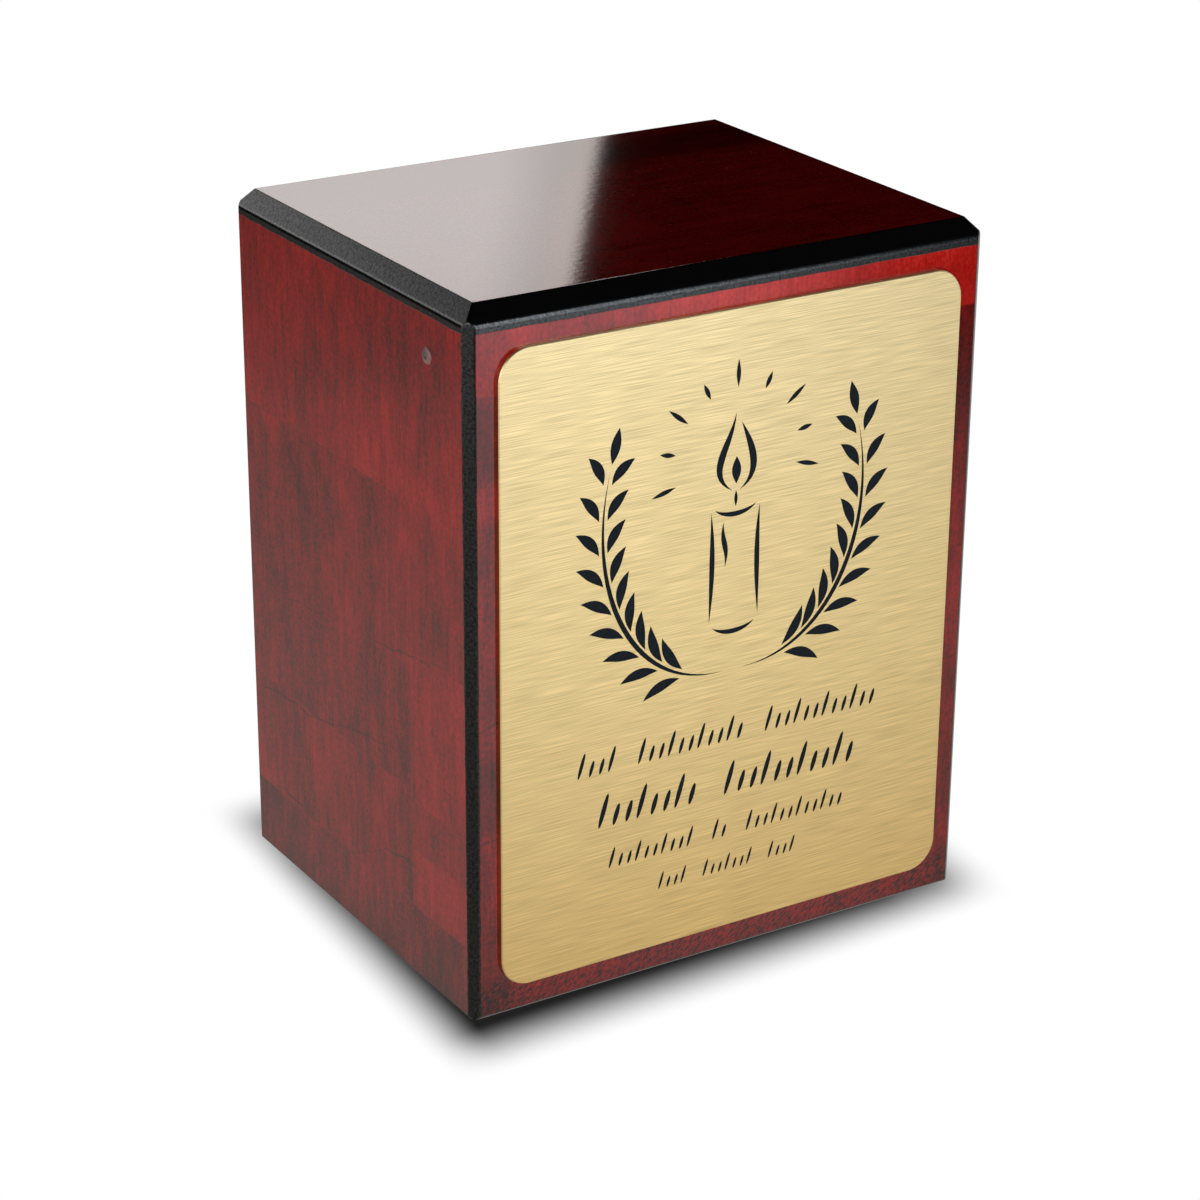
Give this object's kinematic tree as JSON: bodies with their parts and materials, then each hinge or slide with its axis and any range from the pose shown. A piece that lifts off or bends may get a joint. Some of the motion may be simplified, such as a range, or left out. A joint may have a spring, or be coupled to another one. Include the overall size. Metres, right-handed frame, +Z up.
{
  "type": "cremation urn box",
  "caption": "Upright box urn of mitred, lacquered cherry-veneered board with black chamfered edges, a large engraved brass name plate and a screwed base panel.",
  "frame": {"origin": "middle of the case's underside, on the surface that the box stands on", "axes": "+Z up, the name plate on the front faces -Y, +X to the right as seen from the front"},
  "size_m": [0.1738, 0.1415, 0.215],
  "materials": {
    "cherry_lacquer": "high-gloss clear lacquer over red-stained cherry veneer, with black painted chamfers",
    "black_base": "matt black painted fibreboard",
    "zinc_screw": "bright zinc plate",
    "brushed_brass": "brushed along its width, engraved and filled black",
    "grey_plug": "satin grey plastic"
  },
  "bodies": {
    "root": {"front_panel": "cherry_lacquer", "back_panel": "cherry_lacquer", "left_side_panel": "cherry_lacquer", "right_side_panel": "cherry_lacquer", "top_panel": "cherry_lacquer", "base_panel": "black_base", "base_screw_1": "zinc_screw", "base_screw_2": "zinc_screw", "base_screw_3": "zinc_screw", "base_screw_4": "zinc_screw", "name_plate": "brushed_brass", "side_plug": "grey_plug"}
  },
  "joints": []
}
